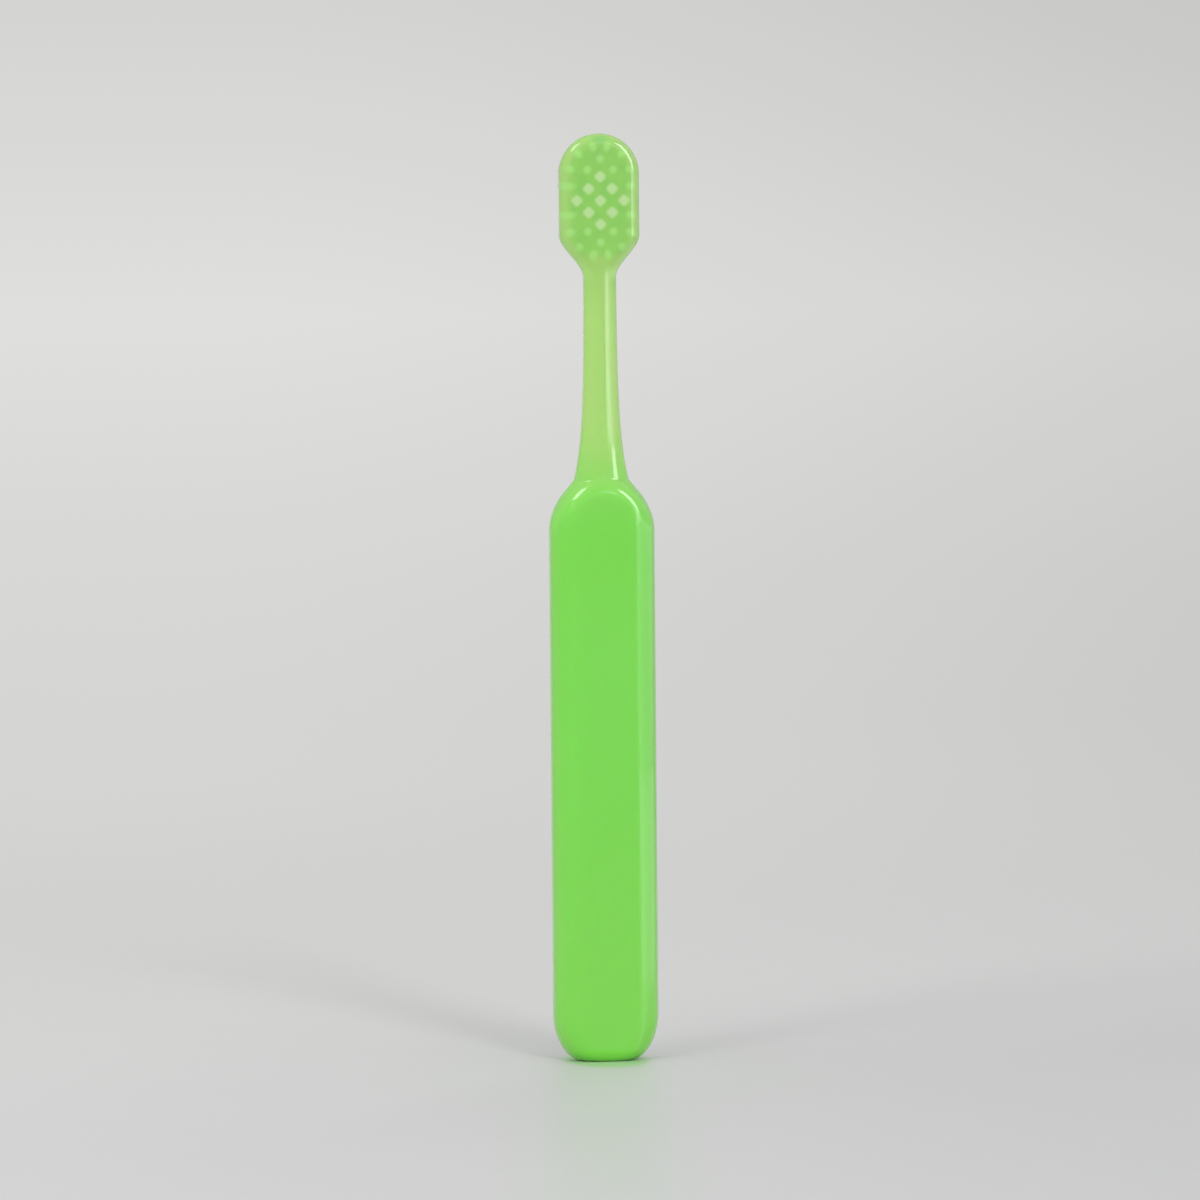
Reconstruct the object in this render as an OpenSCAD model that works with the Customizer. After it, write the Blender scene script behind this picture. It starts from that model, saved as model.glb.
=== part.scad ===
// Manual toothbrush: a one-piece translucent moulding with 31 tufts set in its head.
// The brush stands on its foot, Z runs up its length, and the tufts point along +Y.
// The moulding is one loft. Its outline and its faces are functions of the height.

/* [Handle] */
// Width of the handle
handle_w = 20.6; // [18:0.2:24]
// Thickness of the handle between its flat faces
handle_t = 9.4; // [9:0.2:12]
// Height of the centre of the handle's round top
arch_z = 103.1; // [90:0.1:110]
// Width of the rounded edge along the handle's sides
side_edge_w = 4; // [3:0.2:5]
// Width of the bevel from each flat face out to the rim of the handle's round top
bevel_w = 4; // [3:0.2:5]
// Thickness of the rim of the handle's round top
rim_t = 4.6; // [4:0.2:5.6]
// Width of that rim's rounded edge
rim_edge_w = 2.4; // [1.6:0.2:3.2]

/* [Foot] */
// Flat width of the foot under the handle
foot_w = 9.2; // [6:0.2:12]
// Flat depth of the foot, front to back
foot_t = 6; // [4:0.2:7.6]
// Height of the foot's rounded corners at the sides
corner_h = 9.2; // [6:0.2:12]
// Height of the rounding along the foot's front and back
foot_round_h = 2.5; // [1:0.25:4]

/* [Neck] */
// Width of the neck at its narrowest, under the head
neck_w = 6.35; // [5:0.05:8]
// Thickness of the head, and of the neck at its narrowest
neck_t = 4.5; // [4:0.1:5.6]
// Width of the neck where it leaves the handle
root_w = 10.5; // [9:0.1:12]
// Thickness of the neck where it leaves the handle
root_t = 6.8; // [5.6:0.2:7.6]
// Length over which the neck's flare at the handle dies away
root_flare = 9.1; // [5:0.1:12]
// Softness of the corner between the round top and the neck
shoulder_blend = 3; // [1:0.1:4]
// Width of the flat parting band along the middle of the edge
band_w = 0.5; // [0.3:0.1:0.8]

/* [Head] */
// Height of the whole brush
total_h = 180; // [165:1:200]
// Width of the head
head_w = 15.7; // [15:0.1:18]
// Straight length of the head's sides
head_side = 11.8; // [10:0.2:16]
// Length of the curve from the neck out to the head
head_flare = 8.2; // [6:0.2:12]
// Inset of the head's rounded edge on the back
back_edge_r = 1.7; // [1:0.1:2.6]
// Inset of the head's rounded edge on the bristle side
bristle_edge_r = 1; // [0.6:0.1:1.4]

/* [Tufts] */
// Length of the bristles above the head
bristle_h = 10.5; // [8:0.5:13]
// Half diagonal of the square lattice that the middle tufts stand on
pitch = 2.3; // [2.1:0.05:2.5]
// Distance from the head's rim to the centres of the outer tufts
rim_inset = 2.2; // [2:0.05:2.6]
// Straight length of the ring of outer tufts
ring_side = 10.3; // [9.8:0.1:11]
// Diameter of a round socket, and width across the flats of a diamond one
socket_d = 1.7; // [1.5:0.05:1.8]
// Depth of each socket from the bristle face
socket_depth = 3.2; // [2.6:0.1:3.5]
// Largest width of a diamond socket, across its softened corners
diamond_tip_w = 2.26; // [2:0.02:2.4]
// Thickness of the fused root under each tuft
root_h = 0.8; // [0.6:0.1:1.2]
// Clearance between a root and its socket
root_gap = 0.05; // [0.02:0.01:0.1]
// Radius of a bristle strand
strand_r = 0.16; // [0.1:0.01:0.17]

/* [Hidden] */
// Share of the round top's height over which its bevel replaces the sides' rounded edge
top_share = 0.5;
// Share by which a tuft is wider at its tips than at its root
spread_share = 0.12;
// Depth of a strand's end inside its fused root
strand_seat = 0.2;
// Depth to which the neck's flare runs on inside the handle's round top
root_sink = 4;
// Overrun of a cut past the face that it opens
over = 1;
// Step in height over which the outline's slope is measured
slope_step = 0.05;

// Rings of the loft along each stretch, and points across a ring's rounded edge and flat
corner_rings = 10;
handle_rings = 4;
arch_rings = 12;
neck_rings = 9;
flare_rings = 12;
side_rings = 3;
cap_rings = 12;
edge_steps = 6;
flat_steps = 6;
// Crowding of the neck's rings towards the handle
ring_crowding = 1.6;
// Largest share of a ring's half width that its rounded edge takes
edge_share = 0.6;

// Places of the inner round tufts, as shares of the lattice pitch
inner_shares = [[0, 3.5], [1.1, 2.6], [-1.1, 2.6], [0, -3.5], [1.1, -2.6], [-1.1, -2.6]];
// Place of the first outer tuft along the ring, as a share of the tufts' spacing
ring_start_share = 0.45;
ring_per_quarter = 4;
// Strands of a round tuft, as an inner and an outer circle, and rows of a diamond tuft
inner_strands = 3;
outer_strands = 9;
inner_circle_share = 0.37;
diamond_rows = 4;
strand_sides = 3;
fine = 48;

handle_r = handle_w / 2;
arch_top_z = arch_z + handle_r;
corner_w = (handle_w - foot_w) / 2;
head_r = head_w / 2;
cap_z = total_h - head_r;
flare_top_z = cap_z - head_side;
flare_low_z = flare_top_z - head_flare;
band_half = band_w / 2;
head_face_y = neck_t / 2;
field_z = cap_z - ring_side / 2;
ring_r = head_r - rim_inset;
tuft_spacing = pitch * sqrt(2);
socket_y = head_face_y - socket_depth;
root_r = socket_d / 2 - root_gap;
strand_field = root_r - strand_r;
strand_low_y = socket_y + root_h - strand_seat;
strand_top_y = head_face_y + bristle_h;

clear = [0.72, 0.9, 0.6];
green = [0.48, 0.83, 0.34];
white = [0.92, 0.95, 0.9];

function mix(a, b, t) = a + (b - a) * t;
function ease(t) = let (u = max(0, min(1, t))) u * u * (3 - 2 * u);
function quarter(t) = let (u = max(0, min(1, t))) sqrt(1 - pow(1 - u, 2));
function soft_max(a, b, k) = max(a, b) + k / 4 * pow(max(0, 1 - abs(a - b) / k), 2);

// How far the head's flare has opened at height z, from 0 at the neck to 1 at the head
function opening(z) = ease((z - flare_low_z) / head_flare);
// What is left at height z of the neck's flare at the handle
function root_left(z) = exp(-(z - arch_top_z) / root_flare) * (1 - opening(z));

// Half widths of the handle, of the neck with the head, and of the whole outline
function handle_half(z) =
    z < arch_z
        ? foot_w / 2 + corner_w * quarter(z / corner_h)
        : sqrt(max(0, pow(handle_r, 2) - pow(z - arch_z, 2)));
function neck_half(z) =
    let (low = max(z, arch_top_z - root_sink))
    mix(neck_w / 2, head_r, opening(low)) + (root_w - neck_w) / 2 * root_left(low);
function half_width(z) =
    z < arch_z ? handle_half(z)
    : z < cap_z ? soft_max(handle_half(z), neck_half(z), shoulder_blend)
    : sqrt(max(0, pow(head_r, 2) - pow(z - cap_z, 2)));

// Share that turns a sideways distance into one square to the outline
function square_share(z) =
    z < arch_z || z > cap_z
        ? 1
        : 1 / norm([1, (half_width(z + slope_step) - half_width(z - slope_step)) / (2 * slope_step)]);

// Distance from a point of the flat outline in to the rim of the round-topped handle
function handle_inset(x, z) =
    z < arch_z ? handle_half(z) - abs(x) : handle_r - norm([x, z - arch_z]);
// Distance in from the edge of the whole outline, square to it near the edge
function edge_inset(x, z) =
    let (w = half_width(z))
    z > cap_z
        ? head_r - norm([x, z - cap_z])
        : (w - abs(x)) * mix(1, square_share(z), pow(x / w, 2));

// Half thickness rising from the parting band to a full value over a rounded edge of inset r
function rounded(full, inset, r) = mix(band_half, full, quarter(inset / r));
// Half thickness of the handle, which stands on a smaller foot
function handle_half_t(x, z) =
    let (foot_share = mix(foot_t / handle_t, 1, quarter(z / foot_round_h)))
    rounded(handle_t / 2 * foot_share, handle_inset(x, z), side_edge_w);
// Inset of the rounded edge above the handle: the neck is oval, and the head has its own head_edge
function upper_edge(z, head_edge) =
    mix(mix(rim_edge_w, neck_half(z), ease((z - arch_z) / handle_r)), head_edge, opening(z));
// Half thickness of the round top's rim, the neck and the head
function upper_half_t(x, z, head_edge) =
    let (
        neck = neck_t / 2 + (root_t - neck_t) / 2 * root_left(max(z, arch_top_z - root_sink)),
        full = mix(rim_t / 2, neck, ease((z - arch_z) / handle_r))
    )
    rounded(full, edge_inset(x, z), upper_edge(z, head_edge));
// Half thickness of the whole moulding: a bevel climbs from the rim and the neck to the handle's faces
function half_thickness(x, z, head_edge) =
    let (
        low = upper_half_t(x, z, head_edge),
        bevelled = mix(low, handle_t / 2, ease(handle_inset(x, z) / bevel_w))
    )
    z < arch_z
        ? handle_half_t(x, z)
        : mix(handle_half_t(x, z), bevelled, ease((z - arch_z) / (handle_r * top_share)));

// Heights of the rings, closer together where the outline turns
ring_z = concat(
    [for (i = [0:corner_rings]) corner_h * (1 - cos(90 * i / corner_rings))],
    [for (i = [1:handle_rings - 1]) mix(corner_h, arch_z, i / handle_rings)],
    [for (i = [0:arch_rings]) arch_z + handle_r * sin(90 * i / arch_rings)],
    [for (i = [1:neck_rings]) mix(arch_top_z, flare_low_z, pow(i / neck_rings, ring_crowding))],
    [for (i = [1:flare_rings]) mix(flare_low_z, flare_top_z, i / flare_rings)],
    [for (i = [1:side_rings]) mix(flare_top_z, cap_z, i / side_rings)],
    [for (i = [1:cap_rings - 1]) cap_z + head_r * sin(90 * i / cap_rings)]
);

// Points across one side of a ring, from +X to -X
function half_columns(z, head_edge) =
    let (
        w = half_width(z),
        edge = z < arch_z ? side_edge_w : upper_edge(z, head_edge),
        inset = min(edge / square_share(z), w * edge_share)
    )
    concat(
        [for (i = [0:edge_steps]) w - inset * (1 - cos(90 * i / edge_steps))],
        [for (i = [1:flat_steps]) (w - inset) * (1 - i / flat_steps)]
    );
function side_points(z, head_edge, side) =
    let (
        half = half_columns(z, head_edge),
        last = len(half) - 1,
        xs = concat(half, [for (i = [1:last]) -half[last - i]])
    )
    [for (x = xs) [x, side * half_thickness(x, z, head_edge), z]];
function ring(z) =
    let (
        back = side_points(z, back_edge_r, -1),
        front = side_points(z, bristle_edge_r, 1),
        last = len(front) - 1
    )
    concat(back, [for (i = [0:last]) front[last - i]]);

// The loft closes on the flat foot below and on one point at the top of the head
module moulding_loft() {
    rings = [for (z = ring_z) ring(z)];
    count = len(rings[0]);
    tiers = len(rings);
    points = concat([for (r = rings) each r], [[0, 0, total_h]]);
    apex = count * tiers;
    foot = [[for (i = [0:count - 1]) i]];
    walls = [
        for (t = [0:tiers - 2], i = [0:count - 1])
            let (
                a = t * count + i,
                b = t * count + (i + 1) % count
            )
            each [[a, a + count, b], [b, a + count, b + count]]
    ];
    crown = [for (i = [0:count - 1]) let (base = apex - count) [base + i, apex, base + (i + 1) % count]];
    polyhedron(points, concat(foot, walls, crown), convexity = 6);
}

// Centres of the tufts in the plane of the head, for each kind of tuft
core_places = [
    for (i = [-2:2], j = [-2:2])
        if (abs(i) + abs(j) == 2 || (i == 0 && j == 0)) [i * pitch, field_z + j * pitch]
];
inner_places = [for (p = inner_shares) [p[0] * pitch, field_z + p[1] * pitch]];
// A place on the ring at distance s along it from its top
function ring_place(s) =
    let (turn = min(90, s / ring_r * 180 / PI))
    [ring_r * sin(turn), ring_side / 2 + ring_r * cos(turn) - max(0, s - ring_r * PI / 2)];
outer_places = [
    for (k = [0:ring_per_quarter - 1], sx = [1, -1], sz = [1, -1])
        let (p = ring_place((k + ring_start_share) * tuft_spacing))
        [sx * p[0], field_z + sz * p[1]]
];

// Puts a shape whose +Z is the tuft's direction on a place of the head
module on_head(place, y) {
    translate([place[0], y, place[1]]) rotate([-90, 0, 0]) children();
}

// The softened diamond of the middle sockets, smaller all round by gap
module diamond(gap) {
    intersection() {
        rotate(45) square(socket_d - 2 * gap, center = true);
        circle(d = diamond_tip_w - 2 * gap, $fn = fine);
    }
}

module sockets() {
    for (p = core_places)
        on_head(p, socket_y) linear_extrude(socket_depth + over) diamond(0);
    for (p = concat(inner_places, outer_places))
        on_head(p, socket_y) cylinder(h = socket_depth + over, d = socket_d, $fn = fine);
}

// One bristle strand from a place in the root out to its tip
module strand(root, tip) {
    ring_low = [
        for (i = [0:strand_sides - 1])
            let (a = 360 * i / strand_sides)
            [root[0] + strand_r * cos(a), root[1] + strand_r * sin(a), 0]
    ];
    ring_top = [
        for (i = [0:strand_sides - 1])
            let (a = 360 * i / strand_sides)
            [tip[0] + strand_r * cos(a), tip[1] + strand_r * sin(a), strand_top_y - strand_low_y]
    ];
    walls = [
        for (i = [0:strand_sides - 1])
            let (j = (i + 1) % strand_sides)
            each [[i, i + strand_sides, j], [j, i + strand_sides, j + strand_sides]]
    ];
    ends = [
        [for (i = [0:strand_sides - 1]) i],
        [for (i = [0:strand_sides - 1]) 2 * strand_sides - 1 - i]
    ];
    polyhedron(concat(ring_low, ring_top), concat(walls, ends));
}

module strands(places) {
    for (p = places) strand(p, p * (1 + spread_share));
}

round_strands = concat(
    [for (i = [0:inner_strands - 1]) strand_field * inner_circle_share
        * [cos(360 * i / inner_strands), sin(360 * i / inner_strands)]],
    [for (i = [0:outer_strands - 1]) strand_field
        * [cos(360 * i / outer_strands), sin(360 * i / outer_strands)]]
);
diamond_strands = [
    for (i = [0:diamond_rows - 1], j = [0:diamond_rows - 1])
        let (
            reach = strand_field / sqrt(2),
            u = 2 * i / (diamond_rows - 1) - 1,
            v = 2 * j / (diamond_rows - 1) - 1
        )
        reach * [u + v, u - v] / sqrt(2)
];

module round_tuft(place) {
    on_head(place, socket_y) cylinder(h = root_h, r = root_r, $fn = fine);
    on_head(place, strand_low_y) strands(round_strands);
}

module diamond_tuft(place) {
    on_head(place, socket_y) linear_extrude(root_h) diamond(root_gap);
    on_head(place, strand_low_y) strands(diamond_strands);
}

// The whole moulding, with its blind sockets in the bristle side of the head
module moulding() {
    color(green) difference() {
        moulding_loft();
        sockets();
    }
}

module core_tuft(i) {
    color(white) diamond_tuft(core_places[i]);
}

module inner_tuft(i) {
    color(clear) round_tuft(inner_places[i]);
}

module outer_tuft(i) {
    color(clear) round_tuft(outer_places[i]);
}

moulding();
for (i = [1:len(core_places)])
    core_tuft(i - 1);
for (i = [1:len(inner_places)])
    inner_tuft(i - 1);
for (i = [1:len(outer_places)])
    outer_tuft(i - 1);
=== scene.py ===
# %% [markdown]
# # A translucent green toothbrush
#
# This script dresses a packed toothbrush: one clear green moulding, and 31 tufts of nylon
# filaments set in its head. The pieces stand in metres, with Z up the brush, X across it and
# the bristles pointing along +Y. Each cell makes one thing and prints what it made.

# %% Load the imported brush
import bpy
from math import cos, pi, radians, sin, sqrt
from mathutils import Matrix, Vector


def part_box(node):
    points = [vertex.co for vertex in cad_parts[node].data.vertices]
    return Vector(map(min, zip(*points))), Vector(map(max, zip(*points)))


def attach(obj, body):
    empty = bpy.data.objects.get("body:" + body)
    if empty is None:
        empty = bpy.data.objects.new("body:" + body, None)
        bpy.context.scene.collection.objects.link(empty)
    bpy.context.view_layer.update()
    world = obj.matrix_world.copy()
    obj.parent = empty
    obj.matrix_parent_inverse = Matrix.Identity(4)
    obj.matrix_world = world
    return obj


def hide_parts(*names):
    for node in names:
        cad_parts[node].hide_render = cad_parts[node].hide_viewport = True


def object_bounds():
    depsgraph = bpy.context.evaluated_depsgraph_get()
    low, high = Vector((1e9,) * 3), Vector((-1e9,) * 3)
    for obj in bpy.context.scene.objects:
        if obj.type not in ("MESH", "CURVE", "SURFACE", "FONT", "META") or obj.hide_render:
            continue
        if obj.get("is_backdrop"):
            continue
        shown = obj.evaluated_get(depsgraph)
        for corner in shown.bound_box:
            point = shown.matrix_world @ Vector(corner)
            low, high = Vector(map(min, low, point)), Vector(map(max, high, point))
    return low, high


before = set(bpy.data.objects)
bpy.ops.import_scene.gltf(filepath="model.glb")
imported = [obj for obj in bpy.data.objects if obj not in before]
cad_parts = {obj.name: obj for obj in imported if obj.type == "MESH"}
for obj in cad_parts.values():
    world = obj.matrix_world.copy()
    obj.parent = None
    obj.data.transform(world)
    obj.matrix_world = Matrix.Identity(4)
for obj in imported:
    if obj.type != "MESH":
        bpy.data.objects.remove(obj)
cad_low, cad_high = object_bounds()
MM = 0.001
print("packed brush, in mm:", [round(v / MM, 2) for v in cad_high - cad_low])

# %% [markdown]
# ## The camera
#
# A long lens from a metre and a half away keeps the handle's two sides nearly parallel. The
# camera stands a little to the left of the brush's back and a little above its middle. It is
# rolled by half a degree, because the brush leans by that much in the picture.

# %% Camera
IMAGE = 1200                      # width and height of the picture in pixels
FOCAL_PX = 7730                   # focal length in those pixels
SENSOR = 36.0                     # width of the sensor in millimetres
YAW = radians(-8)                 # round Z from straight behind the head, to the left
RISE = radians(3)                 # above the level of the brush's middle
ROLL = radians(-0.496)            # round the camera's own axis
DISTANCE = 1.5                    # from the camera to that middle, in metres
AIM = Vector((-0.00044, 0, 0.0896))    # the point of the brush at the picture's centre

back = Vector((sin(YAW) * cos(RISE), -cos(YAW) * cos(RISE), sin(RISE)))
right = Vector((cos(YAW), sin(YAW), 0))
up = back.cross(right)
camera_data = bpy.data.cameras.new("camera")
camera_data.sensor_width = SENSOR
camera_data.lens = FOCAL_PX / IMAGE * SENSOR
camera = bpy.data.objects.new("camera", camera_data)
bpy.context.scene.collection.objects.link(camera)
turn = Matrix((right, up, back)).transposed() @ Matrix.Rotation(ROLL, 3, "Z")
camera.matrix_world = Matrix.Translation(AIM + back * DISTANCE) @ turn.to_4x4()
bpy.context.scene.camera = camera


def pixel(point):
    """Where a point of the scene falls in the picture, in pixels from its top left."""
    p = camera.matrix_world.inverted() @ Vector(point)
    return IMAGE / 2 - FOCAL_PX * p.x / p.z, IMAGE / 2 + FOCAL_PX * p.y / p.z


for name, point in {"top of the head": (0, 0, cad_high.z), "foot": (0, 0, 0),
                    "left side": (cad_low.x, 0, cad_high.z / 4),
                    "right side": (cad_high.x, 0, cad_high.z / 4)}.items():
    print(f"{name} falls at", [round(v, 1) for v in pixel(point)])

# %% [markdown]
# ## Sums that turn into nodes
#
# Both the moulding's shape and its colours follow formulas. Written as Python sums they stay
# readable, so one small class wraps a socket and turns each operator into a Math node. The
# same class serves the geometry trees and the materials, because both use that node.

# %% A socket that can be used in sums


class Wire:
    """One output of a node tree, for use in Python sums."""

    def __init__(self, tree, socket):
        self.tree = tree
        self.socket = socket

    def node(self, kind, settings=None, sockets=None, out=0):
        """Adds a node with its settings and its sockets' values or links. Returns one output."""
        made = self.tree.nodes.new(kind)
        for key, value in (settings or {}).items():
            if key == "stops":
                set_stops(made.color_ramp, value)
            else:
                setattr(made, key, value)
        for key, value in (sockets or {}).items():
            wires = value if isinstance(value, list) else [value]
            if isinstance(wires[0], Wire):
                for wire in wires:
                    self.tree.links.new(wire.socket, made.inputs[key])
            else:
                made.inputs[key].default_value = value
        return Wire(self.tree, made.outputs[out])

    def __add__(self, other):
        return maths("ADD", self, other)

    def __radd__(self, other):
        return maths("ADD", other, self)

    def __sub__(self, other):
        return maths("SUBTRACT", self, other)

    def __rsub__(self, other):
        return maths("SUBTRACT", other, self)

    def __mul__(self, other):
        return maths("MULTIPLY", self, other)

    def __rmul__(self, other):
        return maths("MULTIPLY", other, self)

    def __truediv__(self, other):
        return maths("DIVIDE", self, other)

    def __rtruediv__(self, other):
        return maths("DIVIDE", other, self)

    def __lt__(self, other):
        return maths("LESS_THAN", self, other)

    def __gt__(self, other):
        return maths("GREATER_THAN", self, other)


def set_stops(ramp, stops):
    """Gives a colour ramp its stops, as pairs of a place from 0 to 1 and a colour."""
    while len(ramp.elements) < len(stops):
        ramp.elements.new(1)
    for element, (place, rgb) in zip(ramp.elements, stops):
        element.position = place
        element.color = (*rgb, 1)


def maths(operation, *values):
    """One Math node of the given operation, in the tree of the first wire among its values."""
    wire = next(v for v in values if isinstance(v, Wire))
    return wire.node("ShaderNodeMath", {"operation": operation}, dict(enumerate(values)))


def larger(a, b):
    return maths("MAXIMUM", a, b)


def clamp(t):
    return maths("MINIMUM", larger(t, 0), 1)


def root(t):
    return maths("SQRT", larger(t, 0))


def length(a, b):
    return root(a * a + b * b)


def mix(a, b, t):
    return a + (b - a) * t


def ease(t):
    """Runs smoothly from 0 to 1 as t does."""
    u = clamp(t)
    return u * u * (3 - 2 * u)


def quarter(t):
    """A quarter circle: rises steeply from 0 and levels out at 1."""
    u = 1 - clamp(t)
    return root(1 - u * u)


def soft_max(a, b, k):
    """The larger of two values, with a smooth turn of size k where they cross."""
    near = larger(1 - maths("ABSOLUTE", a - b) / k, 0)
    return larger(a, b) + k / 4 * near * near


print("sums are ready")

# %% [markdown]
# ## The sizes of the brush
#
# The moulding is built in millimetres from a few sizes that can be measured on such a brush.
# Each becomes a named input of the Geometry Nodes tree.

# %% Sizes in millimetres
SIZES = {
    "Handle Width": 20.6, "Handle Thickness": 9.4, "Arch Height": 103.1, "Side Edge": 5.2,
    "Bevel Width": 2.8, "Rim Thickness": 4.6, "Rim Edge": 2.4,
    "Foot Width": 9.2, "Foot Depth": 6, "Corner Height": 9.2, "Foot Rounding": 2.5,
    "Neck Width": 6.35, "Neck Thickness": 4.5, "Root Width": 10.5, "Root Thickness": 6.8,
    "Root Flare": 9.1, "Shoulder Blend": 3, "Band Width": 0.5,
    "Total Height": 180, "Head Width": 15.7, "Head Side": 11.8, "Head Flare": 8.2,
    "Back Edge": 2.2, "Bristle Edge": 1,
    "Socket Width": 1.7, "Socket Depth": 3.2, "Diamond Tip Width": 2.26,
}
ROOT_SINK = 4                     # how far the neck's flare runs on inside the handle
TOP_SHARE = 0.5                   # share of the round top over which its bevel sets in
BEVEL_TURN = 0.3                  # share of the bevel's width over which it turns into the face
SLOPE_STEP = 0.05                 # step over which the outline's slope is measured
PITCH = 2.3                       # half diagonal of the lattice of the middle tufts
RIM_INSET = 2.2                   # from the head's rim to the outer tufts
RING_SIDE = 10.3                  # straight length of the ring of outer tufts
BRISTLE_LENGTH = 10.5             # from the head's face to the trimmed tips
print(len(SIZES), "sizes; the brush is", SIZES["Total Height"], "mm tall")

# %% [markdown]
# ## Where the tufts stand
#
# Nine diamond-shaped tufts make a lattice in the middle of the head. Six round ones fill the
# gaps above and below it, and sixteen stand at even steps along a ring inside the rim.

# %% Places of the tufts, in millimetres across and up the head
INNER_STEPS = ((0, 3.5), (1.1, 2.6), (-1.1, 2.6), (0, -3.5), (1.1, -2.6), (-1.1, -2.6))
RING_START = 0.45                 # share of a step from the ring's top to its first tuft
PLACE_LIMIT = 0.3 * MM            # how far a tuft may stand from its CAD node
head_r = SIZES["Head Width"] / 2
cap_z = SIZES["Total Height"] - head_r
field_z = cap_z - RING_SIDE / 2
ring_r = head_r - RIM_INSET
core = [(i * PITCH, field_z + j * PITCH) for i in range(-2, 3) for j in range(-2, 3)
        if abs(i) + abs(j) in (0, 2)]
inner = [(a * PITCH, field_z + b * PITCH) for a, b in INNER_STEPS]


def ring_place(s):
    """The place at distance s along the ring from its top."""
    turn = min(pi / 2, s / ring_r)
    return ring_r * sin(turn), RING_SIDE / 2 + ring_r * cos(turn) - max(0, s - ring_r * pi / 2)


outer = []
for k in range(4):
    across, above = ring_place((k + RING_START) * PITCH * sqrt(2))
    outer += [(sx * across, field_z + sz * above) for sx in (1, -1) for sz in (1, -1)]
tufts = {f"core_tuft_{i + 1}": p for i, p in enumerate(core)}
tufts |= {f"inner_tuft_{i + 1}": p for i, p in enumerate(inner)}
tufts |= {f"outer_tuft_{i + 1}": p for i, p in enumerate(outer)}
for name, (x, z) in tufts.items():
    low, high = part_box(name)
    gap = (Vector((x, z)) * MM - Vector(((low.x + high.x) / 2, (low.z + high.z) / 2))).length
    if gap > PLACE_LIMIT:
        print("look at", name, round(gap / MM, 2), "mm off")
print(len(tufts), "tufts")

# %% [markdown]
# ## The tree of the moulding
#
# A real handle of this kind is moulded in one piece, and its surface follows a rule: at each
# height it has a width, a thickness and a rounded edge. A grid is wrapped into a tube and
# each of its points is set by that rule. The first rows close the foot and the last row
# closes the top of the head. Blind sockets for the tufts are then cut from the bristle side.

# %% Helpers for geometry trees
SHARP_FROM = radians(40)          # edges that turn by more than this stay crisp


def geometry_tree(name, sizes):
    """A new geometry tree with a number input for each size. Returns the tree and its inputs."""
    tree = bpy.data.node_groups.new(name, "GeometryNodeTree")
    tree.interface.new_socket("Geometry", in_out="INPUT", socket_type="NodeSocketGeometry")
    tree.interface.new_socket("Geometry", in_out="OUTPUT", socket_type="NodeSocketGeometry")
    for label, value in sizes.items():
        kind = "NodeSocketInt" if label.endswith(("Count", "Seed")) else "NodeSocketFloat"
        socket = tree.interface.new_socket(label, in_out="INPUT", socket_type=kind)
        socket.default_value = value
    tree.interface.new_socket("Material", in_out="INPUT", socket_type="NodeSocketMaterial")
    start = tree.nodes.new("NodeGroupInput")
    return tree, {s.name: Wire(tree, s) for s in start.outputs if s.name}


def close_tree(tree, geometry, material):
    """Ends a tree in Realize Instances and Set Material."""
    real = geometry.node("GeometryNodeRealizeInstances", {}, {"Geometry": geometry})
    painted = real.node("GeometryNodeSetMaterial", {}, {"Geometry": real, "Material": material})
    end = tree.nodes.new("NodeGroupOutput")
    tree.links.new(painted.socket, end.inputs["Geometry"])


def grown(name, tree, values, places, flags=None):
    """A plain mesh object: the tree run over a mesh of loose points, then made real."""
    start = bpy.data.meshes.new(name)
    start.from_pydata([Vector(p) for p in places], [], [])
    for label, numbers in (flags or {}).items():
        start.attributes.new(label, "FLOAT", "POINT").data.foreach_set("value", numbers)
    piece = bpy.data.objects.new(name, start)
    bpy.context.scene.collection.objects.link(piece)
    modifier = piece.modifiers.new("shape", "NODES")
    modifier.node_group = tree
    for item in tree.interface.items_tree:
        if item.in_out == "INPUT" and item.name in values:
            modifier[item.identifier] = values[item.name]
    bpy.context.view_layer.update()
    evaluated = piece.evaluated_get(bpy.context.evaluated_depsgraph_get())
    made = bpy.data.meshes.new_from_object(evaluated)
    piece.modifiers.remove(modifier)
    piece.data = made
    made.name = name
    made.shade_smooth()
    made.set_sharp_from_angle(angle=SHARP_FROM)
    return piece


def measured(piece):
    """A piece's triangles, and its lowest and highest corners in millimetres."""
    piece.data.calc_loop_triangles()
    corners = [[round(pick(v.co[i] for v in piece.data.vertices) / MM, 2) for i in range(3)]
               for pick in (min, max)]
    return len(piece.data.loop_triangles), corners


def named(wire, name, kind="FLOAT"):
    """A named attribute as a field."""
    return wire.node("GeometryNodeInputNamedAttribute", {"data_type": kind}, {"Name": name})


def noted(geometry, name, value, kind="FLOAT"):
    """Keeps a value at every point under a name, for the material or a later step to read."""
    settings = {"data_type": kind, "domain": "POINT"}
    return geometry.node("GeometryNodeStoreNamedAttribute", settings,
                         {"Geometry": geometry, "Name": name, "Value": value})


def axes(vector):
    """The three parts of a vector."""
    return [vector.node("ShaderNodeSeparateXYZ", {}, {0: vector}, out=i) for i in range(3)]


def moved(geometry, x, y, z):
    """The geometry with its points at the given coordinates, in millimetres."""
    placed = geometry.node("ShaderNodeCombineXYZ", {}, {"X": x * MM, "Y": y * MM, "Z": z * MM})
    return geometry.node("GeometryNodeSetPosition", {}, {"Geometry": geometry, "Position": placed})


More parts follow.
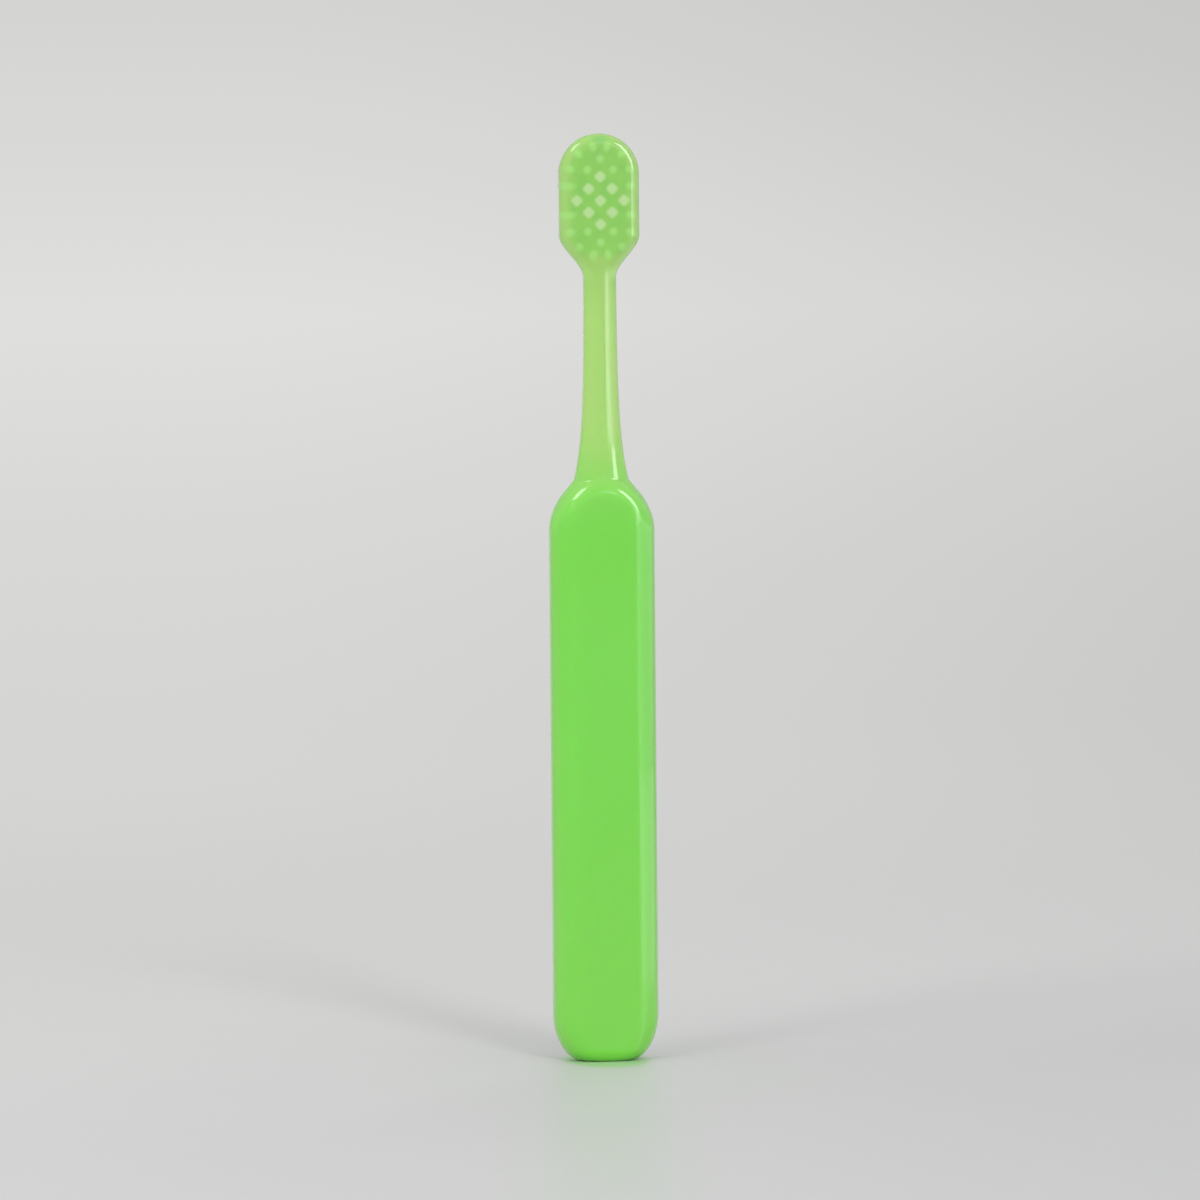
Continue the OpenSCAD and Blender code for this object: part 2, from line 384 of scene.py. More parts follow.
def seated(places, mesh):
    """Puts a mesh on every place. Returns it made real, each place, and its own coordinates."""
    here = places.node("GeometryNodeInputPosition")
    marked = noted(places, "seat", here, "FLOAT_VECTOR")
    copies = marked.node("GeometryNodeInstanceOnPoints", {}, {"Points": marked, "Instance": mesh})
    real = copies.node("GeometryNodeRealizeInstances", {}, {"Geometry": copies})
    seat = named(real, "seat", "FLOAT_VECTOR")
    own = real.node("ShaderNodeVectorMath", {"operation": "SUBTRACT"}, {0: here, 1: seat})
    return real, axes(seat), axes(own)


print("tree helpers are ready")

# %% The moulding's rule


class Shape:
    """The moulding's rule: widths and thicknesses as sums of the tree's inputs, in millimetres."""

    def __init__(self, size):
        self.size = size
        self.handle_r = size["Handle Width"] / 2
        self.arch_top = size["Arch Height"] + self.handle_r
        self.head_r = size["Head Width"] / 2
        self.cap = size["Total Height"] - self.head_r
        self.flare_low = self.cap - size["Head Side"] - size["Head Flare"]

    def opening(self, z):
        """How far the head's flare has opened, from 0 at the neck to 1 at the head."""
        return ease((z - self.flare_low) / self.size["Head Flare"])

    def root_left(self, z):
        """What is left of the neck's flare at the handle."""
        decay = maths("EXPONENT", (self.arch_top - z) / self.size["Root Flare"])
        return decay * (1 - self.opening(z))

    def handle_half(self, z):
        """Half the width of the round-topped handle."""
        size = self.size
        foot = size["Foot Width"] / 2
        side = foot + (self.handle_r - foot) * quarter(z / size["Corner Height"])
        above = larger(z - size["Arch Height"], 0)
        return mix(side, root(self.handle_r * self.handle_r - above * above), above > 0)

    def neck_half(self, z):
        """Half the width of the neck and the head."""
        size = self.size
        low = larger(z, self.arch_top - ROOT_SINK)
        flare = (size["Root Width"] - size["Neck Width"]) / 2 * self.root_left(low)
        return mix(size["Neck Width"] / 2, self.head_r, self.opening(low)) + flare

    def half_width(self, z):
        """Half the width of the whole outline."""
        lower = self.handle_half(z)
        middle = soft_max(lower, self.neck_half(z), self.size["Shoulder Blend"])
        above = larger(z - self.cap, 0)
        upper = root(self.head_r * self.head_r - above * above)
        body = mix(lower, middle, z > self.size["Arch Height"])
        return mix(body, upper, above > 0)

    def square_share(self, z):
        """Turns a sideways distance into one square to the outline."""
        span = 2 * SLOPE_STEP
        slope = (self.half_width(z + SLOPE_STEP) - self.half_width(z - SLOPE_STEP)) / span
        on_side = (z > self.size["Arch Height"]) * (z < self.cap - span)
        return 1 / length(1, slope * on_side)

    def handle_inset(self, x, z):
        """Distance in from the rim of the round-topped handle."""
        side = self.handle_half(z) - maths("ABSOLUTE", x)
        arch = self.handle_r - length(x, z - self.size["Arch Height"])
        return mix(side, arch, z > self.size["Arch Height"])

    def edge_inset(self, x, z, width, square):
        """Distance in from the edge of the whole outline, square to it near the edge."""
        share = x / width
        side = (width - maths("ABSOLUTE", x)) * mix(1, square, share * share)
        cap = self.head_r - length(x, z - self.cap)
        return mix(side, cap, z > self.cap)

    def rounded(self, full, inset, edge):
        """Half thickness rising from the parting band to a full value over a rounded edge."""
        return mix(self.size["Band Width"] / 2, full, quarter(inset / edge))

    def over_top(self, z):
        """How far up the handle's round top a height is, from 0 to 1."""
        return ease((z - self.size["Arch Height"]) / self.handle_r)

    def handle_thick(self, x, z):
        """Half the thickness of the handle, which stands on a smaller foot."""
        size = self.size
        foot_share = size["Foot Depth"] / size["Handle Thickness"]
        full = size["Handle Thickness"] / 2 * mix(foot_share, 1, quarter(z / size["Foot Rounding"]))
        return self.rounded(full, self.handle_inset(x, z), size["Side Edge"])

    def upper_edge(self, z, head_edge):
        """Inset of the rounded edge above the handle. The neck is oval; the head has its own."""
        neck_edge = mix(self.size["Rim Edge"], self.neck_half(z), self.over_top(z))
        return mix(neck_edge, head_edge, self.opening(z))

    def upper_thick(self, z, inset, head_edge):
        """Half the thickness of the round top's rim, the neck and the head."""
        size = self.size
        left = self.root_left(larger(z, self.arch_top - ROOT_SINK))
        flare = (size["Root Thickness"] - size["Neck Thickness"]) / 2 * left
        full = mix(size["Rim Thickness"] / 2, size["Neck Thickness"] / 2 + flare, self.over_top(z))
        return self.rounded(full, inset, self.upper_edge(z, head_edge))

    def half_thickness(self, x, z, inset, head_edge):
        """Half the thickness everywhere. A bevel climbs from the rim and the neck to the faces."""
        size = self.size
        climbed = larger(self.handle_inset(x, z) / size["Bevel Width"], 0)
        bevel = 1 - soft_max(0, 1 - climbed, BEVEL_TURN)
        bevelled = mix(self.upper_thick(z, inset, head_edge), size["Handle Thickness"] / 2, bevel)
        in_top = ease((z - size["Arch Height"]) / (self.handle_r * TOP_SHARE))
        return mix(self.handle_thick(x, z), bevelled, in_top)


print("the rule has", len([n for n in dir(Shape) if not n.startswith("_")]), "parts")

# %% The moulding's tree
AROUND = 144                      # points round a ring
FOOT_ROWS, CORNER_ROWS, CAP_ROWS = 4, 24, 44
HANDLE_ROWS, TOP_ROWS, NECK_ROWS, HEAD_ROWS = 40, 60, 110, 100
MERGE_WITHIN = 0.001              # the tube's seam closes over this distance

moulding_tree, put = geometry_tree("moulding", SIZES)
shape = Shape(put)
STRETCHES = ((put["Arch Height"], HANDLE_ROWS), (shape.arch_top, TOP_ROWS),
             (shape.flare_low, NECK_ROWS), (shape.cap, HEAD_ROWS))
ROWS = FOOT_ROWS + CORNER_ROWS + sum(rows for _, rows in STRETCHES) + CAP_ROWS
grid = put["Geometry"].node("GeometryNodeMeshGrid", {}, {
    "Size X": 1.0, "Size Y": 1.0, "Vertices X": AROUND + 1, "Vertices Y": ROWS + 1})
around, up_rows, _ = axes(grid.node("GeometryNodeInputPosition"))
around = around + 0.5
row = (up_rows + 0.5) * ROWS

# Rows run from the foot's centre out, up its corners, up the body and over the head
spread = clamp(row / FOOT_ROWS)
done = FOOT_ROWS
corner_turn = clamp((row - done) / CORNER_ROWS) * (pi / 2)
z = put["Corner Height"] * (1 - maths("COSINE", corner_turn))
done += CORNER_ROWS
below = put["Corner Height"]
for above, rows in STRETCHES:
    z = z + (above - below) * clamp((row - done) / rows)
    below = above
    done += rows
cap_turn = clamp((row - done) / CAP_ROWS) * (pi / 2)
z = z + shape.head_r * maths("SINE", cap_turn)
print(ROWS, "rows of", AROUND, "points")

# %% [markdown]
# Each ring crosses the bristle side from +X to -X, and then the back to +X again. Going this
# way round, the faces of the tube point outwards. The points are packed into the rounded
# edges, because that is where the light catches.

# %% The points of a ring
BAND_SHARE, EDGE_SHARE = 0.97, 0.55     # of a ring's half: where the band and the edge start
MOST_ROUNDED = 0.6                # the largest share of half the width that is packed tightly
on_front = around < 0.5
across = mix(4 * around - 3, 1 - 4 * around, on_front)
reach = maths("ABSOLUTE", across)
width = shape.half_width(z)
square = shape.square_share(z)
head_edge = mix(put["Back Edge"], put["Bristle Edge"], on_front)
edge = mix(put["Side Edge"], shape.upper_edge(z, head_edge), shape.over_top(z))
rounded_width = maths("MINIMUM", edge / square, width * MOST_ROUNDED)
edge_turn = clamp((BAND_SHARE - reach) / (BAND_SHARE - EDGE_SHARE)) * (pi / 2)
rounded = width - rounded_width * (1 - maths("COSINE", edge_turn))
flat = (width - rounded_width) * reach / EDGE_SHARE
x = maths("SIGN", across) * mix(flat, rounded, reach > EDGE_SHARE)
inset = shape.edge_inset(x, z, width, square)
thick = shape.half_thickness(x, z, inset, head_edge)
band = put["Band Width"] / 2 * (1 - reach) / (1 - BAND_SHARE)
y = (2 * on_front - 1) * mix(thick, band, reach > BAND_SHARE)

noted_grid = noted(noted(grid, "thickness", 2 * thick), "inset", inset)
tube = moved(noted_grid, x * spread, y * spread, z)
tube = tube.node("GeometryNodeMergeByDistance", {}, {
    "Geometry": tube, "Distance": MERGE_WITHIN * MM})
print("the moulding's tree has", len(moulding_tree.nodes), "nodes")

# %% [markdown]
# ## The sockets
#
# A tuft's socket is a blind hole, made in the mould by a pin. The pins are instanced on the
# tufts' places and cut from the tube. A diamond pin is a square turned by 45 degrees whose
# corners are softened, and one flag on each place picks the kind.

# %% Cutting the sockets
PIN_SIDES = 48
PIN_OPEN = 1                      # how far a pin stands out of the bristle face


def section_radius(own, half, corner, is_diamond):
    """Radius at a point's angle round a socket: a circle's, or a soft-cornered diamond's."""
    turn = maths("ARCTAN2", own[1], own[0]) - pi / 4
    across, along = (maths("ABSOLUTE", maths(wave, turn)) for wave in ("COSINE", "SINE"))
    side = half / larger(across, along)
    return mix(half, maths("MINIMUM", side, corner), is_diamond)


pin = put["Geometry"].node("GeometryNodeMeshCylinder", {"fill_type": "NGON"}, {
    "Vertices": PIN_SIDES, "Radius": 1.0, "Depth": 1.0})
pins, seat, own = seated(put["Geometry"], pin)
radius = section_radius(own, put["Socket Width"] / 2, put["Diamond Tip Width"] / 2,
                        named(pins, "diamond"))
pin_low = put["Neck Thickness"] / 2 - put["Socket Depth"]
pin_y = pin_low + (own[2] + 0.5) * (put["Socket Depth"] + PIN_OPEN)
pins = moved(pins, seat[0] / MM + own[0] * radius, pin_y, seat[2] / MM - own[1] * radius)
cut = tube.node("GeometryNodeMeshBoolean", {"operation": "DIFFERENCE", "solver": "MANIFOLD"}, {
    "Mesh 1": tube, "Mesh 2": pins})
close_tree(moulding_tree, cut, put["Material"])
print("the sockets are", SIZES["Socket Depth"], "mm deep")

# %% The moulding as a plain mesh
green_plastic = bpy.data.materials.new("green_plastic")
white_filament = bpy.data.materials.new("white_filament")
clear_filament = bpy.data.materials.new("clear_filament")
moulding = grown("brush_moulding", moulding_tree, {"Material": green_plastic},
                 [(x * MM, 0, z * MM) for x, z in tufts.values()],
                 {"diamond": [float(name.startswith("core")) for name in tufts]})
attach(moulding, "root")
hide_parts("moulding")
print("moulding:", measured(moulding))

# %% [markdown]
# ## The tufts
#
# A tuft is a bundle of nylon filaments 0.18 mm thick. Their lower ends are melted together
# into a plug that fills the foot of the socket, and their tips are ground round. One tree
# makes both kinds: it fills the socket's section with filaments, on a spiral in a round
# socket and on a turned grid in a diamond one, and leans them outwards a little, as they
# stand once they leave the socket.

# %% The seats of a tuft's filaments
FACE = SIZES["Neck Thickness"] / 2        # the head's bristle face, above its middle plane
PLUG_GAP = 0.02                   # from the foot of the socket to the plug
JITTER_SHARE = 0.12               # how far a seat strays, as a share of a filament's radius
GOLDEN_ANGLE = pi * (3 - sqrt(5))
TUFT = {
    "Filament Count": 40, "Filament Radius": 0.09, "Grid Rows": 7, "Diamond": 0,
    "Socket Width": SIZES["Socket Width"], "Tip Width": SIZES["Diamond Tip Width"],
    "Clearance": 0.03, "Plug Low": FACE - SIZES["Socket Depth"] + PLUG_GAP, "Plug Height": 0.8,
    "Mouth Height": FACE, "Trim Height": FACE + BRISTLE_LENGTH, "Spread": 0.16, "Seed": 1,
}
tuft_tree, bit = geometry_tree("tuft", TUFT)
number = bit["Geometry"].node("GeometryNodeInputIndex")
thin = bit["Filament Radius"]
field_r = bit["Socket Width"] / 2 - thin - bit["Clearance"]


def chance(low, high, step):
    """A random number for each filament, from the tree's own seed."""
    return number.node("FunctionNodeRandomValue", {"data_type": "FLOAT"},
                       {2: low, 3: high, "ID": number, "Seed": bit["Seed"] * 7 + step}, out=1)


# On a spiral, the golden angle keeps the filaments evenly apart
spiral_r = field_r * root((number + 0.5) / bit["Filament Count"])
spiral_turn = number * GOLDEN_ANGLE
rows = bit["Grid Rows"]
u = 2 * maths("MODULO", number, rows) / (rows - 1) - 1
v = 2 * maths("FLOOR", number / rows) / (rows - 1) - 1
grid_x, grid_z = field_r * (u + v) / sqrt(2), field_r * (u - v) / sqrt(2)
seat_x = mix(spiral_r * maths("COSINE", spiral_turn), grid_x, bit["Diamond"])
seat_z = mix(spiral_r * maths("SINE", spiral_turn), grid_z, bit["Diamond"])
jitter = thin * JITTER_SHARE
place = number.node("ShaderNodeCombineXYZ", {}, {
    "X": seat_x + jitter * chance(-1, 1, 1), "Y": 0, "Z": seat_z + jitter * chance(-1, 1, 2)})
seats = number.node("GeometryNodePoints", {}, {"Count": bit["Filament Count"], "Position": place})
for step, (label, low) in enumerate({"tone": 0, "trim": 0, "lean_x": -1, "lean_z": -1}.items()):
    seats = noted(seats, label, chance(low, 1, 3 + step))
print("filaments in a round tuft:", TUFT["Filament Count"])
print("filaments in a diamond one:", TUFT["Grid Rows"] ** 2)

# %% The filaments
SIDES, SEGMENTS, TIP_SEGMENTS = 6, 6, 2
TIP_ROUND = 0.42 * pi             # how far round the tip's dome its last ring lies
START_SHARE = 0.7                 # share of the plug's height at which the filaments start
TRIM_SPREAD, LEAN = 0.25, 0.05    # how much the tips differ in height, and lean sideways
stick = seats.node("GeometryNodeMeshCylinder", {"fill_type": "NGON"}, {
    "Vertices": SIDES, "Side Segments": SEGMENTS, "Radius": 1.0, "Depth": 1.0})
filaments, seat, own = seated(seats, stick)
step = (own[2] + 0.5) * SEGMENTS
tip_turn = clamp((step - SEGMENTS + TIP_SEGMENTS) / TIP_SEGMENTS) * TIP_ROUND
low = bit["Plug Low"] + bit["Plug Height"] * START_SHARE
trim = bit["Trim Height"] - TRIM_SPREAD * named(filaments, "trim")
height = low + (trim - thin - low) * clamp(step / (SEGMENTS - TIP_SEGMENTS))
height = height + thin * maths("SINE", tip_turn)
free = (height - bit["Mouth Height"]) / (bit["Trim Height"] - bit["Mouth Height"])
open_up = larger(free, 0)
lean = LEAN * open_up * open_up
away = 1 + bit["Spread"] * open_up * open_up
girth = thin * maths("COSINE", tip_turn)
filaments = moved(
    filaments, seat[0] * away + named(filaments, "lean_x") * lean + own[0] * girth, height,
    seat[2] * away + named(filaments, "lean_z") * lean - own[1] * girth)
filaments = noted(filaments, "along", free)
print("a filament has", SIDES, "sides and", SEGMENTS, "segments")

# %% [markdown]
# The plug is a short prism of the socket's section, with a rounded rim where the nylon
# melted. It counts as lying before the start of the filaments, so its "along" is negative.

# %% The plug
PLUG_SIDES, PLUG_SEGMENTS = 32, 4
MELT = 0.12                       # radius of the melted rim
PLUG_ALONG, PLUG_TONE = -0.3, 0.5
prism = number.node("GeometryNodeMeshCylinder", {"fill_type": "NGON"}, {
    "Vertices": PLUG_SIDES, "Side Segments": PLUG_SEGMENTS, "Radius": 1.0, "Depth": 1.0})
own = axes(number.node("GeometryNodeInputPosition"))
snug = bit["Clearance"]
radius = section_radius(own, bit["Socket Width"] / 2 - snug, bit["Tip Width"] / 2 - snug,
                        bit["Diamond"])
rise = own[2] + 0.5
from_end = maths("MINIMUM", rise, 1 - rise) * bit["Plug Height"]
radius = radius - MELT * (1 - quarter(from_end / MELT))
plug_y = bit["Plug Low"] + rise * bit["Plug Height"]
plug = moved(prism, own[0] * radius, plug_y, 0 - own[1] * radius)
plug = noted(plug, "along", PLUG_ALONG)
plug = noted(plug, "tone", PLUG_TONE)
tuft = plug.node("GeometryNodeJoinGeometry", {}, {"Geometry": [plug, filaments]})
print("the tuft's tree has", len(tuft_tree.nodes), "nodes")

# %% Each tuft at its own place
at_place = tuft.node("GeometryNodeInstanceOnPoints", {}, {
    "Points": bit["Geometry"], "Instance": tuft})
close_tree(tuft_tree, at_place, bit["Material"])

tuft_pieces = []
for index, (name, (x, z)) in enumerate(tufts.items()):
    diamond = name.startswith("core")
    settings = {"Seed": index + 1, "Material": white_filament if diamond else clear_filament}
    if diamond:
        settings |= {"Diamond": 1.0, "Filament Count": TUFT["Grid Rows"] ** 2}
    piece = grown("bristles_" + name, tuft_tree, settings, [(x * MM, 0, z * MM)])
    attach(piece, "root")
    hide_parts(name)
    tuft_pieces.append(piece)
print("first tuft:", measured(tuft_pieces[0]))
print("all tufts:", sum(measured(p)[0] for p in tuft_pieces), "triangles")

# %% [markdown]
# ## Materials
#
# The plastic is a clear, strongly tinted resin. Where it is thin, as in the neck, it looks
# paler and yellower; where it is thick, as in the handle, it is a deep fresh green. The
# moulding already keeps its thickness at every point, so the colour follows that.

# %% Helpers for materials


def colour(r, g, b):
    """A linear colour from 0 to 255 values as a screen shows them."""
    return tuple(((c / 255 + 0.055) / 1.055) ** 2.4 for c in (r, g, b)) + (1,)


def blend(t, a, b):
    """Colour a where t is 0 and colour b where it is 1."""
    return t.node("ShaderNodeMix", {"data_type": "RGBA", "clamp_factor": True},
                  {0: t, 6: a, 7: b}, out=2)


def material_start(material):
    """Empties a material. Returns its Object coordinates and its surface shader."""
    material.use_nodes = True
    tree = material.node_tree
    tree.nodes.clear()
    where = tree.nodes.new("ShaderNodeTexCoord")
    shader = tree.nodes.new("ShaderNodeBsdfPrincipled")
    end = tree.nodes.new("ShaderNodeOutputMaterial")
    tree.links.new(shader.outputs[0], end.inputs["Surface"])
    return Wire(tree, where.outputs["Object"]), shader


def finish_shader(shader, constants, varying):
    """Sets a shader's plain numbers, and links what changes over the surface."""
    for name, value in constants.items():
        shader.inputs[name].default_value = value
    for name, wire in varying.items():
        wire.tree.links.new(wire.socket, shader.inputs[name])


def noise(where, scale, detail=2.0, rough=0.5, distortion=0.0):
    """Soft noise over Object coordinates, from 0 to 1."""
    return where.node("ShaderNodeTexNoise", {}, {
        "Vector": where, "Scale": scale, "Detail": detail, "Roughness": rough,
        "Distortion": distortion}, out=0)


def attribute(where, name):
    """A value that the shape's tree kept at every point."""
    return where.node("ShaderNodeAttribute", {"attribute_name": name}, {}, out=2)


print("material helpers are ready")

# %% [markdown]
# The ends of the tufts show through the head's back as pale spots: diamonds in the middle and
# softer discs round them. Near the rounded rim the plastic works as a lens and draws the
# discs out sideways, most of all along the left side.

# %% The tufts seen through the plastic
DIAMOND_SOFT, ROUND_SOFT = 0.75, 0.9      # width of a spot's border
INNER_SPOT, OUTER_SPOT = 0.75, 0.7        # radius of a round spot
CORNER_CUT, DIAMOND_GROWTH = 0.15, 0.05   # off a diamond's corners, and added to its sides
LEFT_DRIFT, LEFT_STRETCH = 0.9, 2.3       # the left rim's discs lie further out and are long
RIM_DRIFT, DRIFT_BACK, RIM_STRETCH = 0.7, 0.35, 1.3     # the same for the others, by direction
where, shader = material_start(green_plastic)
x, y, z = [part / MM for part in axes(where)]
thickness = attribute(where, "thickness")
inset = attribute(where, "inset")
on_back = clamp((0 - y) * 4)


def step_down(distance, edge, soft):
    """1 inside an edge and 0 outside it, with a soft border."""
    return 1 - ease((distance - edge) / soft + 0.5)


def joined(spots):
    """One mask from many: the largest of them at every point."""
    whole = spots[0]
    for spot in spots[1:]:
        whole = larger(whole, spot)
    return whole


def diamond_spot(px, pz):
    """A square turned by 45 degrees, with cut corners and a soft border."""
    dx, dz = maths("ABSOLUTE", x - px), maths("ABSOLUTE", z - pz)
    side = (dx + dz) / sqrt(2) - SIZES["Socket Width"] / 2
    corner = larger(dx, dz) - SIZES["Diamond Tip Width"] / 2 + CORNER_CUT
    return step_down(larger(side, corner), DIAMOND_GROWTH, DIAMOND_SOFT)


def round_spot(px, pz, radius, soft, stretch=1.0, away=(1.0, 0.0)):
    """A soft disc, drawn out in one direction where the rounded rim magnifies it."""
    along = (x - px) * away[0] + (z - pz) * away[1]
    side = (z - pz) * away[0] - (x - px) * away[1]
    return step_down(length(along / stretch, side), radius, soft)


diamonds = joined([diamond_spot(px, pz) for px, pz in core])
rounds = [round_spot(px, pz, INNER_SPOT, ROUND_SOFT) for px, pz in inner]
for px, pz in outer:
    above = pz - field_z
    past_side = max(0, abs(above) - RING_SIDE / 2)
    out = Vector((px, past_side if above > 0 else -past_side)).normalized()
    if px < 0 and past_side == 0:
        drift, stretch = LEFT_DRIFT, LEFT_STRETCH
    else:
        drift, stretch = RIM_DRIFT * abs(out.x) - DRIFT_BACK, RIM_STRETCH
    rounds.append(round_spot(px + drift * out.x, pz + drift * out.y, OUTER_SPOT, ROUND_SOFT,
                             stretch, tuple(out)))
rounds = joined(rounds)
print("spots are ready;", len(green_plastic.node_tree.nodes), "nodes")

# %% [markdown]
# Each part of the brush has its own green, and some layers add painted shade or painted light
# over it; soft masks lay one over the next. A mask is 0 or 1 apart from a short ramp between
# two heights or two distances in from the outline. The numbers below are those heights and
# distances, in millimetres.

# %% The plastic's colour
NECK, THROAT = colour(167, 211, 106), colour(152, 199, 91)
HANDLE, FOOT, HANDLE_EDGE_AND_SHEEN = colour(117, 215, 60), colour(130, 216, 73), colour(143, 218, 84)
HEAD_GREEN_AND_SHADE, RIM, FLARE_EDGE_LIGHT = colour(137, 202, 79), colour(158, 204, 104), colour(188, 229, 142)
SHADE, CREST_SHADE, STREAM = colour(120, 195, 76), colour(126, 196, 100), colour(150, 232, 100)
DIAMOND, ROUND = colour(181, 219, 146), colour(159, 220, 112)


def ramp(value, start, span):
    """0 up to a start, 1 past a span from there, and smooth between."""
    return ease((value - start) / span)


thin_part, thick_part = SIZES["Neck Thickness"], SIZES["Handle Thickness"]
deep = clamp((thickness - thin_part) / (thick_part - thin_part))
low_down = 1 - ramp(z, SIZES["Arch Height"], 23)
in_throat = ramp(z, field_z - 25, 14)
in_head = ramp(z, field_z - 11.4, 1.8)
in_flare = ease((field_z - 6.5 - z) / 2.5) * ramp(z, field_z - 16, 2.5)
# painted shade: noisy darker patches between the tufts, inside the head's rim
in_shade_patch = ease((noise(where, 420, 2) - 0.46) * 5)
# painted shade: a darker spot at the top of the head between its first two tufts, where less light
# gets in
crest_shade_spot = round_spot(0, SIZES["Total Height"] - 1.2, 0.8, 1.4, 1.6)
flow = noise(where, 38, 3)

LAYERS = [
    ((1 - ramp(z, 0, 70)) * 0.7, FOOT),
    (in_throat * 0.7, THROAT),
    # the head's own green with painted shade: darker where the tufts behind keep light from passing
    # through
    (in_head * ramp(inset, 0, 1.6), HEAD_GREEN_AND_SHADE),
    (in_head * (1 - ramp(inset, 0.4, 3)), RIM),
    # painted light: the flare's rounded edge is made paler, more on the right side than on the left
    (in_flare * (1 - ramp(inset, 0, 2.4)) * mix(0.45, 0.95, ease(x / 4 + 0.5)), FLARE_EDGE_LIGHT),
    # thinner plastic and a painted rim reflection make the lower handle's edges paler
    (low_down * (1 - ramp(inset, 0.3, 1.8)) * 0.5, HANDLE_EDGE_AND_SHEEN),
    (in_head * in_shade_patch * ramp(inset, 1.2, 1.5) * 0.45, SHADE),
    (crest_shade_spot * 0.8, CREST_SHADE),
    (rounds * on_back * 0.9, ROUND),
    (diamonds * on_back, DIAMOND),
    ((flow - 0.5) * 0.35, STREAM),
]
tint = blend(larger(deep * 0.9, low_down), NECK, HANDLE)
for mask, layer in LAYERS:
    tint = blend(mask, tint, layer)
print("the plastic's colour has", len(LAYERS), "layers over the first")

# %% [markdown]
# Polished plastic is glossy, but never perfectly so: handling leaves faint smears, which only
# change how sharp a highlight is, and the mould's polish leaves a very fine ripple.

# %% The plastic's gloss
POLISH, SMEARED = 0.16, 0.05      # roughness of clean plastic, and what a smear adds
smears = noise(where, 260, 3, 0.6, 0.4)
roughness = POLISH + SMEARED * ease((smears - 0.35) * 3)
ripple = noise(where, 900, 2)
bump = where.node("ShaderNodeBump", {}, {"Strength": 0.05, "Distance": 0.02 * MM, "Height": ripple})
finish_shader(shader, {
    "IOR": 1.5, "Subsurface Weight": 0.7, "Subsurface Radius": (1.0, 1.6, 0.6),
    "Subsurface Scale": 1.6 * MM, "Transmission Weight": 0.12,
    "Coat Weight": 1.0, "Coat Roughness": 0.05, "Coat IOR": 1.5,
}, {"Base Color": tint, "Roughness": roughness, "Normal": bump})
print("green plastic:", len(green_plastic.node_tree.nodes), "nodes")

# %% [markdown]
# Nylon filaments are milky. Their ground tips scatter more light, so they look a little
# whiter, and each filament differs slightly from the next.

# %% The filaments' materials
DULL, STAINED = colour(226, 236, 220), colour(205, 226, 190)    # a duller filament, and its foot
TIP_START = 0.82                  # share of the free length at which the ground tip starts
for material, body, tip, see_through in (
        (white_filament, colour(248, 250, 247), colour(252, 252, 251), 0.05),
        (clear_filament, colour(242, 247, 239), colour(249, 251, 247), 0.15)):
    where, shader = material_start(material)
    along = attribute(where, "along")
    tone = attribute(where, "tone")
    shade = blend(ease((along - TIP_START) / (1 - TIP_START)), body, tip)
    shade = blend((1 - tone) * 0.25, shade, DULL)
    shade = blend(ease(0 - along * 3), shade, STAINED)
    streaks = noise(where, 1500, 2)
    finish_shader(shader, {
        "IOR": 1.53, "Subsurface Weight": 0.3, "Subsurface Radius": (1, 1, 1),
        "Subsurface Scale": 0.4 * MM, "Transmission Weight": see_through,
    }, {"Base Color": shade, "Roughness": 0.28 + 0.15 * streaks})
print("filament materials are ready")

# %% [markdown]
# ## Floor, backdrop and light
#
# One pale sheet runs forward as the floor and curves up behind, so no horizon shows. Painted
# light makes it a little lighter on the left and at the back, and a painted green glow lies
# round the brush's foot, for light that passed through the plastic.

# %% The sweep
# painted light: the floor's colour is lighter on the left and at the back, as the light falls
FLOOR_LEFT, FLOOR_RIGHT = colour(205, 205, 205), colour(188, 188, 189)
FLOOR_BACK, FLOOR_GRAIN = colour(211, 211, 210), colour(214, 214, 213)
GREEN_GLOW = colour(140, 205, 110)
SWEEP_REACH, SWEEP_TOP = 2.6, 3.0         # to the front and the sides, and up, in metres
CURVE_START, CURVE_R = 0.9, 0.7
SWEEP_DROP = 0.02 * MM            # the paper lies this far under the foot
SIDE_FADE = 0.6                   # the left's colour turns into the right's over this width
BACK_START, BACK_FADE, BACK_SLANT = -0.1, 0.25, 0.6     # where the back's colour sets in
GLOW_X, GLOW_Y = 9 * MM, 15 * MM  # reach of the glow round the foot
GLOW_START, GLOW_FADE = 0.7, 0.4          # shares of that reach over which it fades

curve = [(CURVE_START + CURVE_R * sin(radians(a)), CURVE_R - CURVE_R * cos(radians(a)))
         for a in range(0, 91, 5)]
profile = [(-SWEEP_REACH, 0)] + curve + [(CURVE_START + CURVE_R, SWEEP_TOP)]
verts = [Vector((side * SWEEP_REACH, py, pz - SWEEP_DROP))
         for side in (-1, 1) for py, pz in profile]
faces = [(i, i + len(profile), i + 1 + len(profile), i + 1) for i in range(len(profile) - 1)]
sweep_mesh = bpy.data.meshes.new("sweep")
sweep_mesh.from_pydata(verts, [], faces)
sweep_mesh.shade_smooth()
sweep = bpy.data.objects.new("sweep", sweep_mesh)
bpy.context.scene.collection.objects.link(sweep)
floor_material = bpy.data.materials.new("floor")
sweep_mesh.materials.append(floor_material)
where, shader = material_start(floor_material)
grain = noise(where, 90, 3)
x, y, z = axes(where)
run = x + y * sin(YAW)            # how far to the right along the sheet's slant
paper_and_light = blend(ease(run / SIDE_FADE + 0.5), FLOOR_LEFT, FLOOR_RIGHT)
paper_and_light = blend(ramp(y - run * BACK_SLANT, BACK_START, BACK_FADE) * 0.6, paper_and_light, FLOOR_BACK)
paper_and_light = blend((grain - 0.5) * 0.3, paper_and_light, FLOOR_GRAIN)
